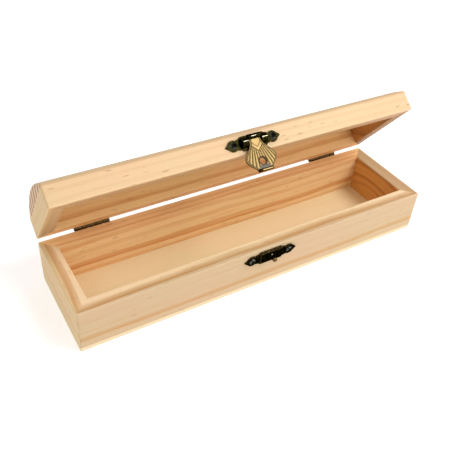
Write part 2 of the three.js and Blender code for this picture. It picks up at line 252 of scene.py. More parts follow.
def lathe(profile, steps):
    """A solid turned round Z from (radius, height) points. The first and last lie on the axis."""
    bm = bmesh.new()
    rings = []
    for radius, height in profile[1:-1]:
        ring = []
        for i in range(steps):
            angle = math.tau * i / steps
            ring.append(bm.verts.new((radius * math.cos(angle), radius * math.sin(angle), height)))
        rings.append(ring)
    first = bm.verts.new((0, 0, profile[0][1]))
    last = bm.verts.new((0, 0, profile[-1][1]))
    for i in range(steps):
        bm.faces.new((first, rings[0][i - 1], rings[0][i]))
        bm.faces.new((last, rings[-1][i], rings[-1][i - 1]))
        for lower, upper in zip(rings, rings[1:]):
            bm.faces.new((lower[i - 1], lower[i], upper[i], upper[i - 1]))
    bmesh.ops.recalc_face_normals(bm, faces=bm.faces)
    return bm


def tube(outer, bore, half_length, softness, steps):
    """A ring round Z with softened rims."""
    profile = [
        (bore, -half_length), (outer - softness, -half_length), (outer, -half_length + softness),
        (outer, half_length - softness), (outer - softness, half_length), (bore, half_length),
    ]
    bm = bmesh.new()
    rings = []
    for radius, height in profile:
        ring = []
        for i in range(steps):
            angle = math.tau * i / steps
            ring.append(bm.verts.new((radius * math.cos(angle), radius * math.sin(angle), height)))
        rings.append(ring)
    for i in range(steps):
        for lower, upper in zip(rings, rings[1:] + rings[:1]):
            bm.faces.new((lower[i - 1], lower[i], upper[i], upper[i - 1]))
    bmesh.ops.recalc_face_normals(bm, faces=bm.faces)
    return bm


def plain_cylinder(radius, half_length, steps):
    """A square-ended cylinder on Z, for cutting."""
    ends = ((0, -half_length), (radius, -half_length), (radius, half_length), (0, half_length))
    return lathe(ends, steps)


# Turns that take a solid drawn on Z to X, or to Y.
ALONG_X = Matrix.Rotation(math.radians(90), 4, "Y")
ALONG_Y = Matrix.Rotation(math.radians(90), 4, "X")

# Takes a solid drawn in (x, z) and thickness to X, Z and forward along -Y.
FORWARD = Matrix(((1, 0, 0, 0), (0, 0, -1, 0), (0, 1, 0, 0), (0, 0, 0, 1)))


def forward_prism(outline, back, front):
    """A solid with an outline in (x, z), from one distance in front of y = 0 to another."""
    bm = prism(outline, back, front)
    bmesh.ops.transform(bm, matrix=FORWARD, verts=bm.verts)
    bmesh.ops.recalc_face_normals(bm, faces=bm.faces)
    return bm


def soften(bm, width, segments, keep=None, sharpest=30):
    """Rounds the sharp edges that keep() lets through, and marks the new faces for edge wear."""
    wear_and_sheen = bm.faces.layers.float.get("wear_and_sheen") or bm.faces.layers.float.new("wear_and_sheen")
    bm.normal_update()
    edges = []
    for edge in bm.edges:
        if len(edge.link_faces) == 2 and edge.calc_face_angle() > math.radians(sharpest):
            if keep is None or keep(edge):
                edges.append(edge)
    made = bmesh.ops.bevel(
        bm, geom=edges, offset=width, offset_type="OFFSET", segments=segments, profile=0.5,
        affect="EDGES", clamp_overlap=True,
    )
    for face in made["faces"]:
        face[wear_and_sheen] = 1.0


def merge(target, source, place=None):
    """Adds one bmesh to another, and frees it."""
    if place is not None:
        bmesh.ops.transform(source, matrix=place, verts=source.verts)
    if target.faces.layers.float.get("wear_and_sheen") is None:
        target.faces.layers.float.new("wear_and_sheen")
    mesh = bpy.data.meshes.new("part")
    source.to_mesh(mesh)
    target.from_mesh(mesh)
    bpy.data.meshes.remove(mesh)
    source.free()
    return target


def store_grain(mesh):
    """Keeps each point's place in the piece's own millimetres, which its material reads."""
    grain = mesh.attributes.new("grain", "FLOAT_VECTOR", "POINT")
    for vertex in mesh.vertices:
        grain.data[vertex.index].vector = vertex.co


def add_piece(name, bm, body, nodes, materials, place=Matrix.Identity(4), smooth=35):
    """Makes the object, carries it to its place in the frame and ties it to its body."""
    mesh = bpy.data.meshes.new(name)
    bm.to_mesh(mesh)
    bm.free()
    store_grain(mesh)
    mesh.transform(TURNS[body] @ Matrix.Scale(MM, 4) @ place)
    for material in materials:
        mesh.materials.append(material)
    mesh.shade_smooth()
    mesh.set_sharp_from_angle(angle=math.radians(smooth))
    piece = bpy.data.objects.new(name, mesh)
    bpy.context.scene.collection.objects.link(piece)
    weighting = piece.modifiers.new("even_shading", "WEIGHTED_NORMAL")
    weighting.keep_sharp = True
    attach(piece, body)
    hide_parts(*nodes)
    return piece


def cut(bm, cutter):
    """Takes one bmesh away from another, and returns what is left."""
    objects = []
    for name, source in (("solid", bm), ("cutter", cutter)):
        mesh = bpy.data.meshes.new(name)
        source.to_mesh(mesh)
        source.free()
        objects.append(bpy.data.objects.new(name, mesh))
        bpy.context.scene.collection.objects.link(objects[-1])
    solid, tool = objects
    boolean = solid.modifiers.new("cut", "BOOLEAN")
    boolean.object = tool
    boolean.solver = "EXACT"
    graph = bpy.context.evaluated_depsgraph_get()
    result = bmesh.new()
    result.from_mesh(solid.evaluated_get(graph).to_mesh())
    for spent in objects:
        mesh = spent.data
        bpy.data.objects.remove(spent)
        bpy.data.meshes.remove(mesh)
    return result


# ---------------------------------------------------------------- shader parts

def add(tree, kind, inputs=None, **settings):
    """Adds a node, sets its options, and fills its inputs from values or from other sockets."""
    node = tree.nodes.new(kind)
    for key, value in settings.items():
        setattr(node, key, value)
    for key, value in (inputs or {}).items():
        if isinstance(value, bpy.types.NodeSocket):
            tree.links.new(value, node.inputs[key])
        else:
            node.inputs[key].default_value = value
    return node


def calc(tree, operation, *values):
    return add(tree, "ShaderNodeMath", dict(enumerate(values)), operation=operation).outputs[0]


def scaled(tree, vector, scale, shift=(0, 0, 0)):
    """A vector multiplied by one vector and moved by another."""
    inputs = {0: vector, 1: scale, 2: shift}
    return add(tree, "ShaderNodeVectorMath", inputs, operation="MULTIPLY_ADD").outputs[0]


def noise(tree, vector, detail=2.0, roughness=0.5):
    inputs = {"Vector": vector, "Scale": 1.0, "Detail": detail, "Roughness": roughness}
    return add(tree, "ShaderNodeTexNoise", inputs).outputs["Fac"]


def fit(tree, value, low, high, to_low=0.0, to_high=1.0):
    """Maps one range onto another, with the ends held."""
    inputs = {"Value": value, 1: low, 2: high, 3: to_low, 4: to_high}
    return add(tree, "ShaderNodeMapRange", inputs, clamp=True).outputs[0]


def ramp(tree, value, stops):
    """A smooth run of grey levels from (place, level) stops."""
    node = add(tree, "ShaderNodeValToRGB", {"Fac": value})
    elements = node.color_ramp.elements
    elements.remove(elements[1])
    elements[0].position = stops[0][0]
    elements[0].color = (*[stops[0][1]] * 3, 1)
    for place, level in stops[1:]:
        elements.new(place).color = (level, level, level, 1)
    return node.outputs["Color"]


def blend(tree, share, first, second, mode="MIX"):
    node = add(tree, "ShaderNodeMix", data_type="RGBA", blend_type=mode)
    for index, value in ((0, share), (6, first), (7, second)):
        if isinstance(value, bpy.types.NodeSocket):
            tree.links.new(value, node.inputs[index])
        elif index == 0:
            node.inputs[index].default_value = value
        else:
            node.inputs[index].default_value = (*value, 1)
    return node.outputs[2]


def srgb(red, green, blue):
    """A colour from 0 to 255 levels, as the linear values that shaders take."""
    linear = []
    for level in (red, green, blue):
        c = level / 255
        linear.append(c / 12.92 if c <= 0.04045 else ((c + 0.055) / 1.055) ** 2.4)
    return tuple(linear)


def attribute(tree, name, output="Fac"):
    return add(tree, "ShaderNodeAttribute", attribute_name=name).outputs[output]


def new_material(name, metallic, ior=1.45):
    material = bpy.data.materials.new(name)
    material.use_nodes = True
    tree = material.node_tree
    shader = tree.nodes["Principled BSDF"]
    shader.inputs["Metallic"].default_value = metallic
    shader.inputs["IOR"].default_value = ior
    return material, tree, shader


def bump(tree, height, depth, normal=None):
    """A bump whose full height is depth millimetres."""
    inputs = {"Height": height, "Strength": 1.0, "Distance": depth * MM}
    if normal is not None:
        inputs["Normal"] = normal
    return add(tree, "ShaderNodeBump", inputs).outputs[0]


# ---------------------------------------------------------------- pine

FLECK_BROWN = srgb(138, 98, 60)
WORN_CREAM = srgb(240, 214, 174)
WARM_TINT = (1.0, 0.96, 0.95)
COOL_TINT = (0.97, 0.99, 0.95)


def ring_distance(tree, grain, place, pith, wander, curve):
    """How far out from the pith this is. Curve bends the rings into arcs along the board."""
    centred = scaled(tree, grain, (curve, 1, 1), (0, -pith[0], -pith[1]))
    reach = add(tree, "ShaderNodeVectorMath", {0: centred}, operation="LENGTH").outputs["Value"]
    slow = noise(tree, scaled(tree, place, (0.011, 0.035, 0.035)), 1.0)
    quick = noise(tree, scaled(tree, place, (0.05, 0.35, 0.35), (7, 3, 5)), 2.0)
    slow_shift = calc(tree, "MULTIPLY_ADD", slow, wander, -wander / 2)
    quick_shift = calc(tree, "MULTIPLY_ADD", quick, 0.9, -0.45)
    return calc(tree, "ADD", calc(tree, "ADD", reach, slow_shift), quick_shift)


def latewood(tree, distance, rings):
    """How dark each ring is: it darkens slowly outwards from its start to its end, then breaks off."""
    inner = rings[0][0] - 1
    outer = rings[-1][1] + 2
    stops = [(0.0, 0.0)]
    for start, end, strength in rings:
        middle = start + 0.4 * (end - start)
        for place, level in ((start, 0.0), (middle, 0.6 * strength), (end, strength), (end + 0.4, 0.0)):
            stops.append(((place - inner) / (outer - inner), level))
    return ramp(tree, fit(tree, distance, inner, outer), stops)


def resin_flecks(tree, place):
    """Short dark dashes along the grain, gathered in a few places."""
    stretched = scaled(tree, place, (0.12, 1.25, 1.25))
    cells = add(tree, "ShaderNodeTexVoronoi", {"Vector": stretched, "Scale": 1.0, "Randomness": 1.0})
    near = fit(tree, cells.outputs["Distance"], 0.12, 0.26, 1.0, 0.0)
    pick = add(tree, "ShaderNodeSeparateColor", {0: cells.outputs["Color"]}).outputs[0]
    clumps = noise(tree, scaled(tree, place, (0.03, 0.12, 0.12), (4, 8, 2)), 1.0)
    gathered = fit(tree, clumps, 0.38, 0.54)
    chosen = calc(tree, "MULTIPLY", fit(tree, pick, 0.78, 0.82), gathered)
    return calc(tree, "MULTIPLY", near, chosen)


def pine(name, pith, rings, early, late, core=None, wander=3.0, curve=0.0,
         shift=(0, 0, 0), flecks=0.5, streaks=0.18):
    """Bare sanded pine. Its grain runs along X, and its rings are round the pith at (y, z).

    The core, if there is one, is the colour nearer the pith and the distances over which it ends.
    """
    material, tree, shader = new_material(name, 0.0)
    grain = attribute(tree, "grain", "Vector")
    place = scaled(tree, grain, (1, 1, 1), shift)
    distance = ring_distance(tree, grain, place, pith, wander, curve)
    dark = latewood(tree, distance, rings)
    along = add(tree, "ShaderNodeSeparateXYZ", {0: place}).outputs[0]
    drawn_out = calc(tree, "MULTIPLY", along, 0.012)
    across = add(tree, "ShaderNodeCombineXYZ", {0: drawn_out, 1: distance}).outputs[0]
    layers = noise(tree, scaled(tree, across, (1, 0.9, 1)), 4.0, 0.65)
    fibre = noise(tree, scaled(tree, place, (0.045, 1.3, 1.3)), 3.0, 0.65)
    fine = noise(tree, scaled(tree, place, (0.5, 7.0, 7.0)), 2.0, 0.6)
    patch = noise(tree, scaled(tree, place, (0.02, 0.06, 0.06), (3, 9, 1)), 2.0)
    share = calc(tree, "ADD", dark, fit(tree, layers, 0.3, 0.7, -streaks, streaks))
    share = calc(tree, "ADD", share, fit(tree, fibre, 0.3, 0.7, -0.7 * streaks, 0.7 * streaks))
    if core is not None:
        core_colour, core_start, core_end = core
        early = blend(tree, fit(tree, distance, core_start, core_end), core_colour, early)
    colour = blend(tree, share, early, late)
    tint = blend(tree, fit(tree, patch, 0.35, 0.65), WARM_TINT, COOL_TINT)
    colour = blend(tree, 1.0, colour, tint, "MULTIPLY")
    colour = blend(tree, 1.0, colour, ramp(tree, fine, ((0.3, 0.92), (0.7, 1.0))), "MULTIPLY")
    fleck_share = calc(tree, "MULTIPLY", resin_flecks(tree, place), flecks)
    colour = blend(tree, fleck_share, colour, FLECK_BROWN)
    worn_share = calc(tree, "MULTIPLY", attribute(tree, "wear_and_sheen"), 0.12)
    colour = blend(tree, worn_share, colour, WORN_CREAM)
    tree.links.new(colour, shader.inputs["Base Color"])
    rough = calc(tree, "ADD", fit(tree, fine, 0.3, 0.7, 0.52, 0.64), calc(tree, "MULTIPLY", dark, -0.08))
    tree.links.new(rough, shader.inputs["Roughness"])
    height = calc(tree, "ADD", calc(tree, "MULTIPLY", fibre, 0.6), calc(tree, "MULTIPLY", fine, 0.4))
    normal = bump(tree, height, 0.05)
    normal = bump(tree, dark, 0.03, normal)
    tree.links.new(normal, shader.inputs["Normal"])
    return material


# ---------------------------------------------------------------- metals

RUBBED_BRONZE = srgb(150, 122, 70)
# Painted highlight ringing the rims of the screw heads
STEEL_RIM_HIGHLIGHT = srgb(132, 130, 122)


def dark_bronze(name, deep, high, rough, rub_and_sheen=0.3, rub_and_sheen_colour=RUBBED_BRONZE, fineness=0.9):
    """Blackened bronze: mottled patina, duller in places, brighter where it is rubbed. On screw heads the
    bright rim is a painted highlight, and on the hinges the light mottle and rubbed edges are partly
    painted glints.
    """
    material, tree, shader = new_material(name, 1.0)
    shader.inputs["Specular Tint"].default_value = (0.2, 0.18, 0.1, 1)
    place = attribute(tree, "grain", "Vector")
    mottle = noise(tree, scaled(tree, place, [fineness] * 3), 4.0, 0.6)
    grit = noise(tree, scaled(tree, place, (9, 9, 9)), 2.0, 0.6)
    colour = blend(tree, fit(tree, mottle, 0.4, 0.75), deep, high)
    wear_and_sheen = attribute(tree, "wear_and_sheen")
    rub_and_sheen_mask = calc(tree, "MULTIPLY", wear_and_sheen, fit(tree, mottle, 0.45, 0.65, 0.3 * rub_and_sheen, rub_and_sheen))
    colour = blend(tree, rub_and_sheen_mask, colour, rub_and_sheen_colour)
    tree.links.new(colour, shader.inputs["Base Color"])
    tree.links.new(fit(tree, grit, 0.3, 0.7, rough - 0.06, rough + 0.1), shader.inputs["Roughness"])
    normal = bump(tree, mottle, 0.03)
    tree.links.new(bump(tree, grit, 0.004, normal), shader.inputs["Normal"])
    return material


def shell_brass(name):
    """Antique brass: bright on the ridges, brown in the grooves, grey on the foot."""
    material, tree, shader = new_material(name, 0.45)
    shader.inputs["Specular IOR Level"].default_value = 0.25
    place = attribute(tree, "grain", "Vector")
    relief = attribute(tree, "relief")
    mottle = noise(tree, scaled(tree, place, (1.3, 1.3, 1.3)), 4.0, 0.65)
    grit = noise(tree, scaled(tree, place, (7, 7, 7)), 2.0, 0.6)
    height = calc(tree, "ADD", relief, fit(tree, mottle, 0.3, 0.7, -0.3, 0.2))
    patina = ramp(tree, height, ((0.0, 0.0), (0.2, 0.2), (0.5, 0.7), (1.0, 1.0)))
    colour = blend(tree, patina, srgb(66, 46, 20), srgb(190, 160, 102))
    steel = blend(tree, fit(tree, mottle, 0.35, 0.65), srgb(72, 66, 56), srgb(104, 98, 86))
    colour = blend(tree, attribute(tree, "steel"), colour, steel)
    tree.links.new(colour, shader.inputs["Base Color"])
    tree.links.new(fit(tree, grit, 0.3, 0.7, 0.4, 0.56), shader.inputs["Roughness"])
    tree.links.new(bump(tree, grit, 0.02), shader.inputs["Normal"])
    return material


# ---------------------------------------------------------------- woodwork

def section(depth, height, low_round, high_round):
    """The (y, z) outline of a board's section, outer face on y = 0."""
    corners = (
        (low_round, low_round, low_round, 180),
        (depth - low_round, low_round, low_round, 270),
        (depth - high_round, height - high_round, high_round, 0),
        (high_round, height - high_round, high_round, 90),
    )
    points = []
    for y, z, radius, start in corners:
        points += arc(y, z, radius, start, start + 90, ROUND_STEPS) if radius else [(y, z)]
    return points


def corner_path(y, half):
    """Where a line of the board at depth y runs round the box's corner, up to the mitre."""
    if y >= CORNER_RADIUS:
        return [(half - y, y)] * (CORNER_STEPS + 1)
    reach = CORNER_RADIUS - y
    return arc(half - CORNER_RADIUS, CORNER_RADIUS, reach, -90, -45, CORNER_STEPS)


def mitred_board(length, depth, height, low_round, high_round):
    """A board with mitred ends and softened edges. It lies along X with its outer face on y = 0."""
    bm = bmesh.new()
    half = length / 2 - SEAM
    straight = half - depth - CORNER_RADIUS
    rows = []
    for y, z in section(depth, height, low_round, high_round):
        path = [(straight, y), *corner_path(y, half)]
        path = [(-x, y_there) for x, y_there in reversed(path)] + path
        rows.append([bm.verts.new((x, y_there, z)) for x, y_there in path])
    wear_and_sheen = bm.faces.layers.float.new("wear_and_sheen")
    for row, following in zip(rows, rows[1:] + rows[:1]):
        rounded = abs(row[0].co.y - following[0].co.y) > 0 and abs(row[0].co.z - following[0].co.z) > 0
        for i in range(len(row) - 1):
            face = bm.faces.new((row[i], row[i + 1], following[i + 1], following[i]))
            face[wear_and_sheen] = 1.0 if rounded else 0.0
    bm.faces.new([row[0] for row in rows])
    bm.faces.new([row[-1] for row in reversed(rows)])
    bmesh.ops.remove_doubles(bm, verts=bm.verts, dist=1e-4)
    bmesh.ops.recalc_face_normals(bm, faces=bm.faces)
    bm.normal_update()
    return bm


def board_place(side, z):
    """Where a board drawn by mitred_board() stands in the frame, for one side of the box."""
    low, high = closed_box("tray_bottom_panel")
    spots = {
        "front": (0, low.y, 0),
        "back": (0, high.y, 180),
        "left": (low.x, 0, -90),
        "right": (high.x, 0, 90),
    }
    x, y, turn = spots[side]
    return Matrix.Translation((x, y, z)) @ Matrix.Rotation(math.radians(turn), 4, "Z")


def add_board(body, side, materials, low_round, high_round, bottom, top):
    """One board of the tray or the lid.

    A second material, if there is one, is its inner face's, and a third is its outer face's.
    """
    node = f"{body}_{side}_board"
    low, high = closed_box("tray_bottom_panel")
    size = high - low
    length = size.x if side in ("front", "back") else size.y
    board_low, board_high = closed_box(node)
    board_size = board_high - board_low
    depth = board_size.y if side in ("front", "back") else board_size.x
    bm = mitred_board(length, depth, top - bottom, low_round, high_round)
    for face in bm.faces:
        if len(materials) > 1 and face.normal.y > 0.9:
            face.material_index = 1
        if len(materials) > 2 and face.normal.y < 0.5 and abs(face.normal.z) < 0.5:
            face.material_index = 2
    place = board_place(side, bottom)
    return add_piece(f"{node}_wood", bm, body, [node], materials, place)


def rim_round(side):
    """How far a board is rounded where the lid meets the tray. It is less beside the hinges."""
    return BACK_EDGE_RADIUS if side == "back" else EDGE_RADIUS


def add_bottom_panel(materials):
    """The panel under the four boards. The second material is its edges'."""
    low, high = closed_box("tray_bottom_panel")
    size = high - low
    half = size / 2
    outline = [(-half.x, -half.y), (half.x, -half.y), (half.x, half.y), (-half.x, half.y)]
    bm = prism(outline, 0, size.z - SEAM)
    soften(
        bm, CORNER_RADIUS, CORNER_STEPS,
        lambda edge: abs(edge.verts[0].co.z - edge.verts[1].co.z) > 1,
    )
    soften(bm, EDGE_RADIUS, 3, lambda edge: max(v.co.z for v in edge.verts) < 0.01)
    bm.normal_update()
    for face in bm.faces:
        if abs(face.normal.z) < 0.9:
            face.material_index = 1
    place = Matrix.Translation((low.x + half.x, low.y + half.y, low.z))
    node = "tray_bottom_panel"
    return add_piece(f"{node}_wood", bm, "tray", [node], materials, place)


def dome_outline(half, edge, rise):
    """The lid panel's section: flat below, with a low arch from front to back."""
    radius = (half * half + rise * rise) / (2 * rise)
    spread = math.degrees(math.asin(half / radius))
    arch = arc(0, edge + rise - radius, radius, 90 - spread, 90 + spread, DOME_STEPS)
    return [(-half, 0), (half, 0), *arch]


def add_dome(materials):
    """The lid's domed panel. The second material is its ends'."""
    node = "lid_top_panel"
    low, high = closed_box(node)
    size = high - low
    outline = dome_outline(size.y / 2, DOME_EDGE, size.z - DOME_EDGE)
    bm = prism(outline, -size.x / 2, size.x / 2)
    upright = Matrix(((0, 0, 1, 0), (1, 0, 0, 0), (0, 1, 0, 0), (0, 0, 0, 1)))
    bmesh.ops.transform(bm, matrix=upright, verts=bm.verts)
    soften(bm, EDGE_RADIUS, 4, lambda edge: max(v.co.z for v in edge.verts) > DOME_EDGE / 2)
    for face in bm.faces:
        if abs(face.normal.x) > 0.7:
            face.material_index = 1
    place = Matrix.Translation((low.x + size.x / 2, low.y + size.y / 2, low.z))
    return add_piece(f"{node}_wood", bm, "lid", [node], materials, place)


# ---------------------------------------------------------------- hasp and catch

def plate_outline():
    """A block between two round ears with pointed finials, in (x, z)."""
    reach = math.sqrt(EAR_RADIUS ** 2 - PLATE_NECK_HALF_HEIGHT ** 2)
    neck = 180 - math.degrees(math.atan2(PLATE_NECK_HALF_HEIGHT, reach))
    root = EAR_CENTRE + EAR_RADIUS * math.cos(math.radians(FINIAL_SPREAD))
    waist = (root + PLATE_HALF_LENGTH) / 2
    half = [
        (PLATE_BODY_HALF_LENGTH - PLATE_CORNER, -PLATE_BODY_HALF_HEIGHT),
        (PLATE_BODY_HALF_LENGTH, -PLATE_BODY_HALF_HEIGHT + PLATE_CORNER),
        *arc(EAR_CENTRE, 0, EAR_RADIUS, -neck, -FINIAL_SPREAD, 12),
        (waist, -FINIAL_WAIST),
        (PLATE_HALF_LENGTH, 0),
        (waist, FINIAL_WAIST),
        *arc(EAR_CENTRE, 0, EAR_RADIUS, FINIAL_SPREAD, neck, 12),
        (PLATE_BODY_HALF_LENGTH, PLATE_BODY_HALF_HEIGHT - PLATE_CORNER),
        (PLATE_BODY_HALF_LENGTH - PLATE_CORNER, PLATE_BODY_HALF_HEIGHT),
    ]
    return half + [(-x, -z) for x, z in half]


def front_edges(front):
    """Lets through only the edges on a solid's front."""
    return lambda edge: max(v.co.y for v in edge.verts) < -front + 0.01


def plate_solid(trough=None):
    """The flat plate with its raised middle, its back on y = 0.

    A trough, if there is one, is cut into the middle.
    """
    plate = forward_prism(plate_outline(), 0, PLATE_THICKNESS)
    soften(plate, PLATE_SOFTNESS, 3, front_edges(PLATE_THICKNESS))
    half = PLATE_BODY_HALF_LENGTH - BOSS_INSET
    rise = PLATE_BODY_HALF_HEIGHT - BOSS_INSET
    boss = forward_prism([(-half, -rise), (half, -rise), (half, rise), (-half, rise)], 0, BOSS_RISE)
    soften(
        boss, BOSS_SOFTNESS, 3,
        lambda edge: min(v.co.y for v in edge.verts) < -BOSS_RISE + 0.01,
    )
    if trough is not None:
        boss = cut(boss, trough)
    return merge(plate, boss)


def cheek(side):
    """A half-round cheek beside the flap's knuckle, which holds an end of the hinge pin.

    Its inner foot is notched, to clear the flap's shoulder. A strip along its round face takes the second
    material, a painted highlight.
    """
    outline = arc(0, 0, CHEEK_RADIUS, -90, 90, 24)
    outline = [(CHEEK_STANDOFF + u, v) for u, v in outline]
    outline = [(0, CHEEK_RADIUS), (0, -CHEEK_RADIUS)] + outline
    bm = prism(outline, CHEEK_INNER, CHEEK_OUTER)
    soften(
        bm, CHEEK_SOFTNESS, 3,
        lambda edge: abs(edge.verts[0].co.z - edge.verts[1].co.z) < 0.01,
    )
    # A strip along the round face takes the second material, a painted highlight.
    for face in bm.faces:
        centre = face.calc_center_median()
        off = math.degrees(math.atan2(centre.y, centre.x - CHEEK_STANDOFF)) - CHEEK_HIGHLIGHT_ANGLE
        if abs(off) < CHEEK_HIGHLIGHT_SPREAD and CHEEK_HIGHLIGHT_START < centre.z < CHEEK_HIGHLIGHT_END:
            face.material_index = 1
    reach = CHEEK_STANDOFF + 2 * CHEEK_RADIUS
    foot = [
        (CHEEK_NOTCH_BACK, CHEEK_NOTCH_TOP), (CHEEK_NOTCH_BACK, -reach),
        (reach, -reach), (reach, CHEEK_NOTCH_TOP),
    ]
    bm = cut(bm, prism(foot, CHEEK_INNER - 1, CHEEK_INNER + CHEEK_NOTCH_WIDTH))
    turn = Matrix(((0, 0, side, 0), (-1, 0, 0, 0), (0, 1, 0, 0), (0, 0, 0, 1)))
    bmesh.ops.transform(bm, matrix=turn, verts=bm.verts)
    bmesh.ops.recalc_face_normals(bm, faces=bm.faces)
    return bm


def add_hasp_plate(metals):
    """The lid's plate, with a cheek on each side of the flap's knuckle and a trough behind it."""
    low, high = closed_box("hasp_plate")
    wood = closed_box("lid_front_board")[0].y
    place = Matrix.Translation(((low.x + high.x) / 2, wood, low.z + PLATE_BODY_HALF_HEIGHT))
    axis = Matrix.Translation(closed_centre("hasp_hinge_pin"))
    trough = plain_cylinder(FLAP_KNUCKLE_RADIUS + TROUGH_GAP, CHEEK_INNER, 36)
    bmesh.ops.transform(trough, matrix=ALONG_X, verts=trough.verts)
    bmesh.ops.transform(trough, matrix=place.inverted() @ axis, verts=trough.verts)
    bm = plate_solid(trough)
    for side in (-1, 1):
        merge(bm, cheek(side))
    return add_piece("hasp_plate_metal", bm, "lid", ["hasp_plate"], metals, place)


def add_catch_plate(material):
    """The tray's plate, which carries the post."""
    low, high = closed_box("catch_plate")
    wood = closed_box("tray_front_board")[0].y
    bm = plate_solid()
    place = Matrix.Translation(((low.x + high.x) / 2, wood, (low.z + high.z) / 2))
    return add_piece("catch_plate_metal", bm, "tray", ["catch_plate"], [material], place)


def flap_half_width(drop, edge):
    """Half the flap's width at a distance below its pin."""
    for (x0, d0), (x1, d1) in zip(edge, edge[1:]):
        if d0 <= drop <= d1:
            return x0 + (x1 - x0) * (drop - d0) / max(d1 - d0, 1e-6)
    return edge[-1][0]


def flap_relief(x, drop, half):
    """How high the shell's pattern stands here: 0 in a groove, 1 on a ridge, less by the hole."""
    below = drop - (CHEVRON_TIP - CHEVRON_SLOPE * abs(x))
    angle = math.degrees(math.atan2(x, drop - RIB_APEX))
    rib = (0.5 + 0.5 * math.cos(math.tau * angle / RIB_PITCH)) ** 0.5
    neck = 0.85 - 0.5 * math.exp(-((below + 2.3) / 0.28) ** 2)
    height = neck + (rib - neck) * smoothstep(0.1, 0.9, below)
    height *= 1 - 0.9 * math.exp(-(below / 0.3) ** 2)
    inset = half - abs(x)
    height += (0.1 - height) * math.exp(-((inset - 0.8) / 0.25) ** 2)
    height += (0.45 - height) * (1 - smoothstep(0.35, 0.6, inset))
    height *= smoothstep(-0.1, 0.3, inset)
    from_hole = math.hypot(x, drop - FLAP_HOLE_DROP)
    height += (-0.3 - height) * (1 - smoothstep(FLAP_RING_RADIUS, FLAP_RING_RADIUS + 0.3, from_hole))
    return height


def flap_steel(x, drop):
    """The smooth grey foot of the flap, between the hole and the lip."""
    across = 1 - smoothstep(2.6, 3.4, abs(x))
    return across * smoothstep(14.7, 15.1, drop)


def flap_shell():
    """The ribbed shell as a closed solid, in the pin's own millimetres."""
    edge = [FLAP_EDGE_START, *bezier(FLAP_NECK_END, FLAP_FLARE, FLAP_WIDEST, 24)]
    edge += bezier(FLAP_WIDEST, FLAP_TAPER, FLAP_FOOT, 24)[1:]
    rows, columns = 110, 110
    bm = bmesh.new()
    for name in ("relief", "steel"):
        bm.verts.layers.float.new(name)
    relief = bm.verts.layers.float["relief"]
    steel = bm.verts.layers.float["steel"]
    front, back = [], []
    for i in range(rows + 1):
        drop = edge[0][1] + (edge[-1][1] - edge[0][1]) * i / rows
        half = flap_half_width(drop, edge)
        front.append([])
        back.append([])
        for j in range(columns + 1):
            x = half * (2 * j / columns - 1)
            grey = flap_steel(x, drop)
            height = flap_relief(x, drop, half) * (1 - grey) + 0.45 * grey
            vertex = bm.verts.new((x, -RIB_HEIGHT * height, -drop))
            vertex[relief] = height
            vertex[steel] = grey
            front[-1].append(vertex)
            back[-1].append(bm.verts.new((x, FLAP_BACK, -drop)))
    for i in range(rows):
        for j in range(columns):
            bm.faces.new((front[i][j], front[i + 1][j], front[i + 1][j + 1], front[i][j + 1]))
            bm.faces.new((back[i][j], back[i][j + 1], back[i + 1][j + 1], back[i + 1][j]))
        for j in (0, columns):
            bm.faces.new((front[i][j], back[i][j], back[i + 1][j], front[i + 1][j]))
    for j in range(columns):
        for i in (0, rows):
            bm.faces.new((front[i][j], front[i][j + 1], back[i][j + 1], back[i][j]))
    bmesh.ops.recalc_face_normals(bm, faces=bm.faces)
    return bm


def rod_profile(radius, half_length, softness, stops=()):
    """A solid rod's turned profile, with rounded ends, and a ring at each stop along it."""
    end = arc(radius - softness, half_length - softness, softness, 90, 0, 4)
    lower = [(across, -along) for across, along in end]
    rings = [(radius, stop) for stop in stops]
    return [(0, -half_length), *lower, *rings, *reversed(end), (0, half_length)]


def highlighted_rod(radius, half_length, softness, rub_and_sheen, index):
    """A dark rod on X with a painted highlight along a line, which takes another material."""
    start, end, angle, spread = rub_and_sheen
    bm = lathe(rod_profile(radius, half_length, softness, (start, end)), 36)
    bmesh.ops.transform(bm, matrix=ALONG_X, verts=bm.verts)
    for face in bm.faces:
        centre = face.calc_center_median()
        off = math.degrees(math.atan2(centre.z, -centre.y)) - angle
        rub_and_sheen_mask = abs(off) < spread and start < centre.x < end
        face.material_index = index if rub_and_sheen_mask else 1
    return bm


def lip_roll():
    """The roll at the flap's foot: dark bronze with a painted highlight of brass along a line."""
    bm = highlighted_rod(LIP_RADIUS, LIP_HALF, LIP_SOFTNESS, LIP_HIGHLIGHT, 0)
    relief = bm.verts.layers.float.new("relief")
    for vertex in bm.verts:
        vertex[relief] = 1.0
    return bm


def add_flap(metals):
    """The flap: its shell, a knuckle bored for the pin, and a curled lip."""
    axis = closed_centre("hasp_hinge_pin")
    shell = flap_shell()
    hole = plain_cylinder(FLAP_HOLE_RADIUS, 3, 40)
    spot = Matrix.Translation((0, 0, -FLAP_HOLE_DROP)) @ ALONG_Y
    bmesh.ops.transform(hole, matrix=spot, verts=hole.verts)
    bm = cut(shell, hole)
    # The knuckle carries a painted highlight line in the third material.
    knuckle = highlighted_rod(
        FLAP_KNUCKLE_RADIUS, FLAP_KNUCKLE_HALF, FLAP_KNUCKLE_SOFTNESS, KNUCKLE_HIGHLIGHT, 2
    )
    bore = plain_cylinder(KNUCKLE_BORE, 2 * FLAP_KNUCKLE_HALF, 24)
    bmesh.ops.transform(bore, matrix=ALONG_X, verts=bore.verts)
    merge(bm, cut(knuckle, bore))
    merge(bm, lip_roll(), Matrix.Translation((0, 0, -LIP_DROP)))
    place = Matrix.Translation(axis)
    return add_piece("hasp_flap_metal", bm, "hasp_flap", ["hasp_flap"], metals, place)


